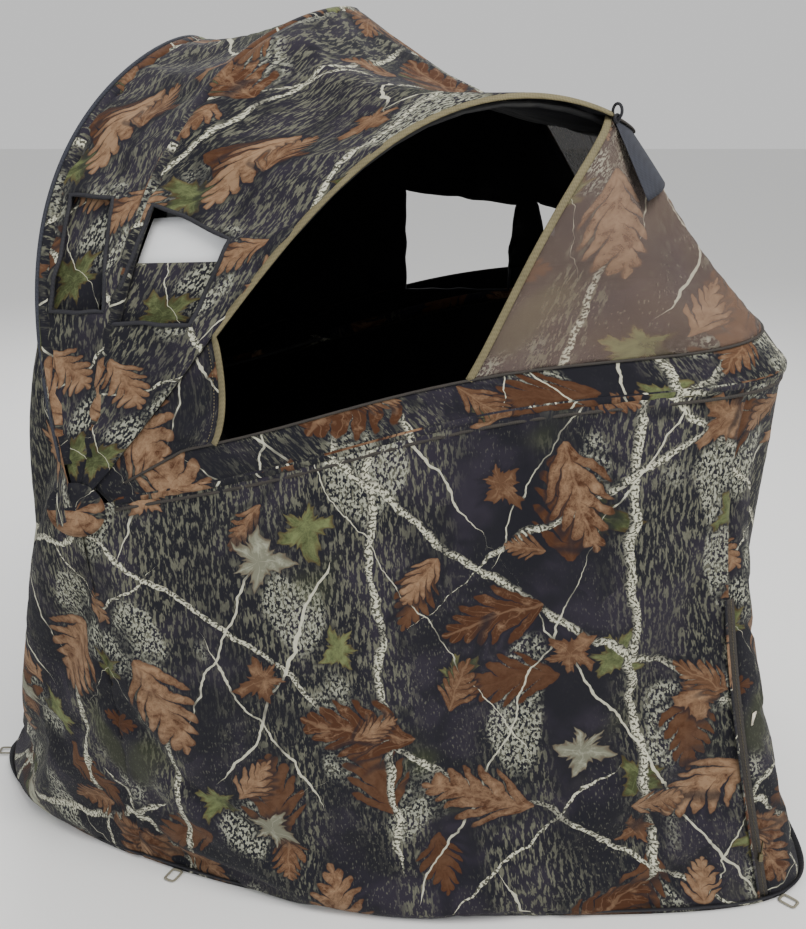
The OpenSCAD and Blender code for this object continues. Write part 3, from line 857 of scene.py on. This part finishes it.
REAR_WINDOW = ((0.443, 1.242), (0.375, 1.240), (0.392, 1.080), (0.478, 1.076))
SIDE_WINDOW = ((0.311, 1.232), (0.200, 1.186), (0.262, 1.064), (0.390, 1.062))
DOOR_WINDOW = ((-0.055, 1.182), (-0.308, 1.152), (-0.296, 0.955), (-0.055, 0.955))
DOOR_SLOT = ((-0.350, 1.160), (-0.404, 1.143), (-0.398, 1.078), (-0.372, 1.078))


OTHER_WAY = Vector((9.3, 1.5, 7.9))  # far enough away for the noise to be unrelated


def outline_steps(outline, step, wobble, seed):
    """Points every step or so round the outline, a little uneven as a soft edge is."""
    points = []
    for k, start in enumerate(outline):
        end = outline[(k + 1) % len(outline)]
        a, b = Vector((0, *start)), Vector((0, *end))
        count = max(2, round((b - a).length / step))
        for i in range(count):
            p = a.lerp(b, i / count)
            sway = wobble * math.sin(math.pi * i / count)
            at = p * 22 + Vector((seed, 0, 0))
            points.append(p + Vector((0, noise.noise(at), noise.noise(at + OTHER_WAY))) * sway)
    return points


def inside_outline(y, z, points):
    hits = False
    for k, p in enumerate(points):
        q = points[(k + 1) % len(points)]
        if (p.z > z) != (q.z > z) and y < p.y + (q.y - p.y) * (z - p.z) / (q.z - p.z):
            hits = not hits
    return hits


def cut_window(piece, outline, side, name, wobble, seed):
    """Cut the window out of the panel and bind its edge; the binding is returned."""
    corners = [Vector((0, *point)) for point in outline]
    bm = bmesh.new()
    bm.from_mesh(piece.data)
    low_y, high_y = min(p.y for p in corners) - 0.03, max(p.y for p in corners) + 0.03
    low_z, high_z = min(p.z for p in corners) - 0.03, max(p.z for p in corners) + 0.03

    def nearby():
        faces = []
        for face in bm.faces:
            c = face.calc_center_median()
            if side * c.x > 0.2 and low_y < c.y < high_y and low_z < c.z < high_z:
                faces.append(face)
        return faces

    tree = BVHTree.FromBMesh(bm)
    rim = []
    for p in outline_steps(outline, 0.012, wobble, seed):
        hit = tree.ray_cast(Vector((side * 1.0, p.y, p.z)), Vector((-side, 0, 0)))
        place = hit[0] if hit[0] else Vector((side * HUB_SKIN, p.y, p.z))
        rim.append(place)
    for k, p in enumerate(corners):
        q = corners[(k + 1) % len(corners)]
        way = (q - p).normalized()
        faces = nearby()
        geometry = faces + list({edge for face in faces for edge in face.edges})
        geometry += list({vertex for face in faces for vertex in face.verts})
        bmesh.ops.bisect_plane(bm, geom=geometry, dist=1e-5, plane_co=p,
                               plane_no=Vector((0, way.z, -way.y)))
    gone = [face for face in nearby()
            if inside_outline(*face.calc_center_median().yz, corners)]
    bmesh.ops.delete(bm, geom=gone, context="FACES")
    bm.to_mesh(piece.data)
    bm.free()
    return tube(name, rim, 0.0034, [BINDING], sides=8, closed=True, flatten=0.7,
                across=(side, 0, 0))


SIDES = ((-1, "left"), (1, "right"))
rear_bindings = []
side_bindings = []
for side, word in SIDES:
    rear_bindings.append(cut_window(rear_roof, REAR_WINDOW, side, "rear_window_binding_" + word,
                                    0.006, side))
    side_bindings.append(cut_window(main_roof, SIDE_WINDOW, side, "side_window_binding_" + word,
                                    0.005, side + 5))
door_bindings = [
    cut_window(right_door, DOOR_WINDOW, 1, "door_window_binding", 0.006, 3),
    cut_window(right_door, DOOR_SLOT, 1, "door_slot_binding", 0.003, 4)]
for cloth in (rear_wall, rear_roof, main_roof, right_door, left_gusset, sill_band,
              skirt_left, skirt_front, skirt_right):
    thicken(cloth, 0.0012, lined=True)
thicken(front_mesh, 0.0006)


def window_cloth(name, place, node, body, material):
    piece = panel(name, creased(place, 0.003, 14, len(name)), 22, 26, [material, LINING],
                  upright=True)
    thicken(piece, 0.0012, lined=True)
    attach(piece, body)
    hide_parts(node)
    return piece


INSET = 0.0135
window_cloths = []
for side, word in SIDES:
    turn = (lambda place: place) if side < 0 else mirrored
    window_cloths.append(window_cloth(
        "rear_window_cloth_" + word,
        turn(lambda u, v: fan_point(REAR, TOP, mix(22, 42, u), mix(0.07, 0.74, v), SKIN - INSET)),
        "rear_window_panel_" + word, "rear_panel_%s_body" % word, CAMO))
    window_cloths.append(window_cloth(
        "side_window_cloth_" + word,
        turn(lambda u, v: fan_point(TOP, UPPER, mix(17.5, 26.3, u), mix(0.06, 0.9, v), SKIN - INSET)),
        "side_window_panel_" + word, "side_panel_%s_body" % word, CAMO))
window_cloths.append(window_cloth(
    "door_window_cloth",
    mirrored(lambda u, v: above_sill(mix(15, 24.5, u), mix(0.5, 0.97, v), SKIN - INSET)),
    "door_window_panel", "door_panel_body", CAMO))

SCREEN_INSET = 0.021
screens = []
for side, word in SIDES:
    turn = (lambda place: place) if side < 0 else mirrored
    for part, near, far, low, high, first, last in (("rear", REAR, TOP, 23, 44, 0.05, 0.90),
                                                    ("side", TOP, UPPER, 15, 31, 0.06, 0.94)):
        place = turn(lambda u, v: fan_point(near, far, mix(low, high, u), mix(first, last, v),
                                            SKIN - SCREEN_INSET))
        screens.append((panel("%s_window_screen_%s" % (part, word), place, 16, 16, [SCREEN],
                              upright=True), part))

# ---- riding, baking and sheets ----



def turning():
    """What bakes a piece's placement into its mesh."""
    def turn(piece):
        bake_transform(piece)
    return turn


turn_rear = turning()
turn_top = turning()
turn_main = turning()
turn_front = turning()

FRONT_HOOPS = ["upper_front_hoop", "lower_front_hoop"]
replaced = set()


def stands_for(piece, *nodes):
    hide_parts(*nodes)
    replaced.update(nodes)


def measured(piece):
    return sum(polygon.area for polygon in piece.data.polygons)


def declare(piece, place):
    """Work out a panel's cut size, along and across its middle, and its flat area; the numbers are not
    kept.
    """
    steps = 60
    middle_row = [place(k / steps, 0.5) for k in range(steps + 1)]
    middle_column = [place(0.5, k / steps) for k in range(steps + 1)]
    width = sum((middle_row[k + 1] - middle_row[k]).length for k in range(steps))
    length = sum((middle_column[k + 1] - middle_column[k]).length for k in range(steps))
    area = measured(piece)
    length = max(length, area / width / 0.98)


def fold_with_skirt(piece, body="lower_hoop_body"):
    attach(piece, body)
    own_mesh(piece)


for piece, turn, nodes in (
        (rear_wall, turn_rear, ("rear_wall_left", "rear_wall_back", "rear_wall_right")),
        (rear_roof, turn_top, ("rear_roof_left", "rear_roof_top", "rear_roof_right")),
        (main_roof, turn_main, ("main_roof_left", "main_roof_top", "main_roof_right")),
        (front_mesh, turn_front, ("front_mesh",)),
        (right_door, turn_front, ("right_door",)),
        (left_gusset, turn_front, ("left_gusset",))):
    turn(piece)
    stands_for(piece, *nodes)
for piece in rear_bindings:
    turn_top(piece)
for piece in side_bindings:
    turn_main(piece)
for piece in door_bindings:
    turn_front(piece)
for piece, part in screens:
    thicken(piece, 0.0005)
    if part == "rear":
        turn_top(piece)
    else:
        turn_main(piece)
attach(sill_band, "lower_hoop_body")
stands_for(sill_band, "sill_band_left", "sill_band_front", "sill_band_right")
for piece in (skirt_left, skirt_front, skirt_right):
    fold_with_skirt(piece)
    stands_for(piece, piece.name.removesuffix("_cloth"))

for piece, place, held, rests_on in (
        (rear_wall, lambda u, v: rear_point(180 * u, v), "hung", ["rear_hoop"]),
        (rear_roof, whole_fan(REAR, TOP), "stretched", ["rear_hoop", "top_hoop"]),
        (main_roof, whole_fan(TOP, UPPER), "stretched", ["top_hoop", "upper_front_hoop"]),
        (front_mesh, lambda u, v: above_sill(mix(mesh_edge(v), 180 - corner_edge(v), u), v),
         "stretched", FRONT_HOOPS),
        (right_door, lambda u, v: above_sill(mix(HUB_EDGE, corner_edge(v), u), v),
         "stretched", FRONT_HOOPS),
        (left_gusset, lambda u, v: above_sill(mix(HUB_EDGE, gusset_edge(v), u), v),
         "stretched", FRONT_HOOPS),
        (sill_band, whole_band, "stretched", ["lower_front_hoop"]),
        (skirt_left, side_skirt, "hung", ["lower_front_hoop"]),
        (skirt_front, front_skirt, "hung", ["lower_front_hoop"]),
        (skirt_right, side_skirt, "hung", ["lower_front_hoop"])):
    declare(piece, place)
for piece in window_cloths + [screen for screen, _ in screens]:
    area = measured(piece)
    side = round(area ** 0.5, 3)

# ---- bindings, rolls and seams along the hoops ----


def hoop_path(hoop, first, last, count, grow=0.0):
    return [skin_point(hoop, mix(first, last, k / count), grow) for k in range(count + 1)]


def outward(path):
    return [(p - INSIDE).normalized() for p in path]


def trim(name, path, radius, material, flatten=1.0, sides=10):
    return tube(name, path, radius, [material], sides, flatten=flatten, across=outward(path))


def sewn_on(body, name, path, radius, material, flatten=1.0):
    """A trim on the skin that moves with one body."""
    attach(trim(name, path, radius, material, flatten), body)


def stitches(name, path, pitch, long, material):
    """A row of raised stitches along a path."""
    bm = bmesh.new()
    run = 0.0
    due = pitch
    for a, b in zip(path, path[1:]):
        step = (b - a).length
        while run + step > due:
            place = a.lerp(b, (due - run) / step)
            turn = (b - a).to_track_quat("X", "Z").to_matrix().to_4x4()
            turn.translation = place
            bmesh.ops.create_icosphere(bm, subdivisions=1, radius=1,
                                       matrix=turn @ Matrix.Diagonal((long / 2, 0.0007, 0.0007, 1)))
            due += pitch
        run += step
    return finish_mesh(name, bm, [material])


OPENING_TOP = (19.5, 51)


def arch_path(grow, back=0.0):
    """Up the gusset's edge from the sill and along the front edge of the roof."""
    low = [above_sill(gusset_edge(v), v, grow) + Vector((0, back, 0))
           for v in [1 - k / 26 for k in range(26)]]
    high = [fan_point(TOP, UPPER, mix(*OPENING_TOP, k / 90), 1 - back * 2.1, grow + 0.8 * FRONT_LIFT)
            for k in range(91)]
    return low + high


arch_binding = trim("arch_binding", arch_path(SKIN + 0.0012), 0.0062, OLIVE_TAPE, 0.42)
arch_stitches = stitches("arch_stitches", arch_path(SKIN + 0.0012, 0.012), 0.0052, 0.0034,
                         OLIVE_TAPE)
for piece in (arch_binding, arch_stitches):
    turn_front(piece)
sewn_on("upper_hoop_body", "roof_front_seam", hoop_path(UPPER, 51, 178.4, 150, SKIN + FRONT_LIFT * 0.8),
        0.0030, PIPING, 0.6)
sewn_on("rear_hoop_body", "rear_hoop_sleeve", hoop_path(REAR, 6, 174, 150, 0.003), 0.0130, CAMO)
sewn_on("rear_hoop_body", "rear_hoop_piping",
        [p + Vector((0, 0.009, 0.004)) for p in hoop_path(REAR, 6, 174, 150, 0.011)],
        0.0034, NAVY_BINDING_AND_SHADE)
sewn_on("top_hoop_body", "top_hoop_sleeve", hoop_path(TOP, 6, 174, 150, 0.001), 0.0112, CAMO)
sewn_on("lower_hoop_body", "lower_hoop_roll", hoop_path(LOWER, 3, 177, 200, 0.001), 0.0118, CAMO)
sewn_on("lower_hoop_body", "lower_hoop_piping",
        [skirt_point(mix(3, 177, k / 200), 0.018, SKIN + 0.001) for k in range(201)],
        0.0028, PIPING)
sewn_on("lower_hoop_body", "sill_seam",
        [sill_point(mix(5, 175, k / 200), 1, SKIN + 0.0005) for k in range(201)],
        0.0022, PIPING)

mesh_hem = trim("mesh_edge_hem", [above_sill(mesh_edge(k / 50), k / 50, SKIN + 0.0008)
                                  for k in range(51)], 0.0060, OLIVE_TAPE, 0.3)
mesh_side_seam = trim("mesh_side_seam", [mirrored(above_sill)(corner_edge(k / 50), k / 50, SKIN + 0.0006)
                                         for k in range(51)], 0.0025, PIPING, 0.6)


# Painted shade: a dark navy sheet laid on the front mesh where the mesh lies in shadow, standing in for
# that shade.
def shade_sheet_place(u, v):
    drop = 0.40 * v * (1 - 0.3 * u)
    return above_sill(mesh_edge(drop) + 0.5 + 5.5 * v + 6.0 * u * (1 - 0.35 * v), drop, SKIN + 0.0026)


mesh_shade_sheet = panel("mesh_corner_patch", shade_sheet_place, 16, 16, [NAVY_BINDING_AND_SHADE])
thicken(mesh_shade_sheet, 0.0009)
for piece in (mesh_hem, mesh_side_seam, mesh_shade_sheet):
    turn_front(piece)

HEM_TAPE = 0.0090
HEM_CENTRE = Vector((0, 0, 0.0095))
front_hem = trim("skirt_hem", [hem_front_point(mix(0, 180, k / 220), SKIN + 0.0010) + HEM_CENTRE
                               for k in range(221)], HEM_TAPE, BINDING, 0.28)
sewn_on("chair", "rear_wall_hem", [hem_rear_point(mix(0, 180, k / 160), SKIN + 0.0010) + HEM_CENTRE
                                   for k in range(161)], HEM_TAPE, BINDING, 0.28)


def loop_points(centre, radius, count, tilt):
    """A round loop of cord, tilted about the line across the blind."""
    points = []
    for k in range(count):
        turn = 360 * k / count
        p = Vector((radius * cos(turn), 0, radius * 1.25 * sin(turn)))
        points.append(centre + Matrix.Rotation(math.radians(tilt), 3, "Z") @ p)
    return points


tie_low, tie_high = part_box("tie_loop")
tie_centre = (Vector(tie_low) + Vector(tie_high)) / 2
tie_cord = tube("tie_cord", loop_points(tie_centre, 0.0085, 22, 40), 0.0023, [BINDING],
                8, closed=True)
tie_knot = tube("tie_knot", loop_points(tie_centre - Vector((0, 0, 0.010)), 0.0040, 14, 120), 0.0026,
                [BINDING], 8, closed=True)
for piece in (tie_cord, tie_knot):
    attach(piece, "upper_hoop_body")
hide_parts("tie_loop")

# ---- corner zips ----

ZIP_ROWS = 60


def zip_line(a, grow, mirror):
    place = mirrored(skirt_point) if mirror else skirt_point
    return [place(a, mix(0.38, 0.985, k / ZIP_ROWS), grow) for k in range(ZIP_ROWS + 1)]


zip_pieces = []
for mirror, word in ((False, "left"), (True, "right")):
    place = mirrored(skirt_point) if mirror else skirt_point
    tape = strip("zip_tape_" + word, lambda u, v: place(mix(SEAM - 0.4, SEAM + 0.4, v),
                                                        mix(0.38, 0.985, u), SKIN + 0.0016),
                 60, [PIPING], 0.0010)
    teeth = stitches("zip_teeth_" + word, zip_line(SEAM, SKIN + 0.0030, mirror), 0.0030, 0.0016,
                     BRASS)
    cover = trim("zip_flap_" + word, zip_line(SEAM - 0.50, SKIN + 0.0030, mirror), 0.0042, CAMO,
                 0.35)
    zip_pieces += [tape, teeth, cover]
    slider_node = word + "_zip_slider"
    low, high = (Vector(corner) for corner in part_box(slider_node))
    middle = (low + high) / 2
    bm = bmesh.new()
    bmesh.ops.create_cube(bm, size=1, matrix=Matrix.Translation((middle.x, middle.y, low.z + 0.012))
                          @ Matrix.Diagonal((0.007, 0.007, 0.016, 1)))
    bmesh.ops.create_cube(bm, size=1, matrix=Matrix.Translation((middle.x, middle.y, low.z + 0.034))
                          @ Matrix.Diagonal((0.005, 0.0015, 0.026, 1)))
    bmesh.ops.bevel(bm, geom=bm.edges[:], offset=0.0007, offset_type="OFFSET", segments=2,
                    profile=0.5, affect="EDGES", material=-1)
    pull = finish_mesh("zip_pull_" + word, bm, [BRASS])
    fold_with_skirt(pull, word + "_slider_body")
    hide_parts(slider_node)
for piece in zip_pieces + [front_hem]:
    fold_with_skirt(piece)
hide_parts("corner_zips")
replaced.update(["corner_zips", "tie_loop", "left_zip_slider", "right_zip_slider"])

# ---- loops for stakes along the hem, and the small blank tag ----


def stake_loop(name, hem, degrees):
    """A webbing loop lying out from the hem."""
    out = Vector((cos(degrees), sin(degrees), 0))
    side = Vector((-out.y, out.x, 0))
    path = []
    for k in range(32):
        c, s = cos(11.25 * k), sin(11.25 * k)
        long = math.copysign(abs(c) ** 0.4, c) * 0.0145
        wide = math.copysign(abs(s) ** 0.4, s) * 0.0105
        path.append(Vector((hem.x, hem.y, 0.0035)) + out * (0.019 + long) + side * wide)
    return tube(name, path, 0.0026, [KHAKI], 8, closed=True, flatten=0.55, across=(0, 0, 1))


OUTER = SKIN + 0.0012
front_loops = [stake_loop("stake_loop_front", hem_front_point(90, OUTER), -90)]
for side, word in ((1, "left"), (-1, "right")):
    for a, degrees, where in ((3.5, 155, "side"), (46, 225, "corner")):
        hem = hem_front_point(a, OUTER)
        hem.x *= side
        front_loops.append(stake_loop("stake_loop_%s_%s" % (where, word), hem,
                                      90 + side * (degrees - 90)))
rear_loop = stake_loop("stake_loop_rear", hem_rear_point(90, OUTER), 90)
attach(rear_loop, "chair")
low, high = (Vector(corner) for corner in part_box("hem_tag"))
bm = bmesh.new()
bmesh.ops.create_cube(bm, size=1, matrix=Matrix.Translation((low + high) / 2)
                      @ Matrix.Rotation(math.radians(45), 4, "Z")
                      @ Matrix.Diagonal((0.0015, 0.012, 0.024, 1)))
hem_tag = finish_mesh("hem_tag_ribbon", bm, [CREAM])
for piece in front_loops + [hem_tag]:
    fold_with_skirt(piece)
stands_for(front_loops[0], "stake_loops")
stands_for(hem_tag, "hem_tag")

# ---- hub patches ----

for side, word in SIDES:
    def patch(u, v, side=side):
        turn, far = 360 * u, 0.046 * v
        out = side * (HUB_SKIN + 0.0085 - 0.0018 * v)
        return Vector((out, HUB_Y + far * cos(turn), HUB_Z + far * sin(turn)))
    bm = cloth_grid(patch, 32, 4)
    bmesh.ops.remove_doubles(bm, verts=bm.verts[:], dist=1e-6)
    facing_out(bm)
    hub_patch = finish_mesh("hub_patch_" + word, bm, [CAMO])
    thicken(hub_patch, 0.0012)
    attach(hub_patch, "chair")
    if side < 0:
        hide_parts("pivot_patches")
replaced.add("pivot_patches")

# ---- slings ----

low_seat, high_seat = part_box("seat_sling")
low_back, high_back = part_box("back_sling")


def seat_place(u, v):
    y = mix(low_seat[1], high_seat[1], v)
    rise = mix(high_seat[2] - 0.012, high_seat[2], v)
    return Vector((mix(low_seat[0], high_seat[0], u), y, rise - 0.040 * sin(180 * v) ** 2))


seat = panel("seat_sling_cloth", seat_place, 40, 40, [SLING])
thicken(seat, 0.002)
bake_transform(seat)
stands_for(seat, "seat_sling")
declare(seat, seat_place)


def back_place(u, v):
    x = mix(low_back[0], high_back[0], u)
    z = mix(low_back[2], high_back[2], v)
    y = mix(low_back[1] + 0.004, high_back[1] - 0.026, v)
    return Vector((x, y + 0.020 * cos(90 * x / high_back[0]) ** 2, z))


back = panel("back_sling_cloth", back_place, 40, 40, [SLING])
thicken(back, 0.002)
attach(back, "chair")
stands_for(back, "back_sling")
declare(back, back_place)

# ---- finishes of the hard parts ----

FINISHES = {
    "frame_paint": FRAME_COAT, "zinc": ZINC, "bracket_steel": STEEL, "black_plastic": CAP,
    "nylon_washer": NYLON, "hoop_steel": ROD_COAT, "eye_steel": ZINC, "zip_tape": KHAKI,
    "zip_metal": BRASS, "webbing": KHAKI, "black_webbing": BINDING, "tag_fabric": CREAM,
    "camo_fabric": CAMO,
}
for part in frame["record"]["subparts"]:
    if part["node"] not in replaced and part["material_slot"] in FINISHES:
        node = frame["nodes"][part["node"]]
        for place in node.material_slots:
            place.material = FINISHES[part["material_slot"]]

# ---- floor ----

bm = bmesh.new()
bmesh.ops.create_grid(bm, x_segments=1, y_segments=1, size=30)
floor = bpy.data.objects.new("floor", bpy.data.meshes.new("floor"))
bm.to_mesh(floor.data)
bm.free()
floor.data.materials.append(FLOOR)
bpy.context.collection.objects.link(floor)
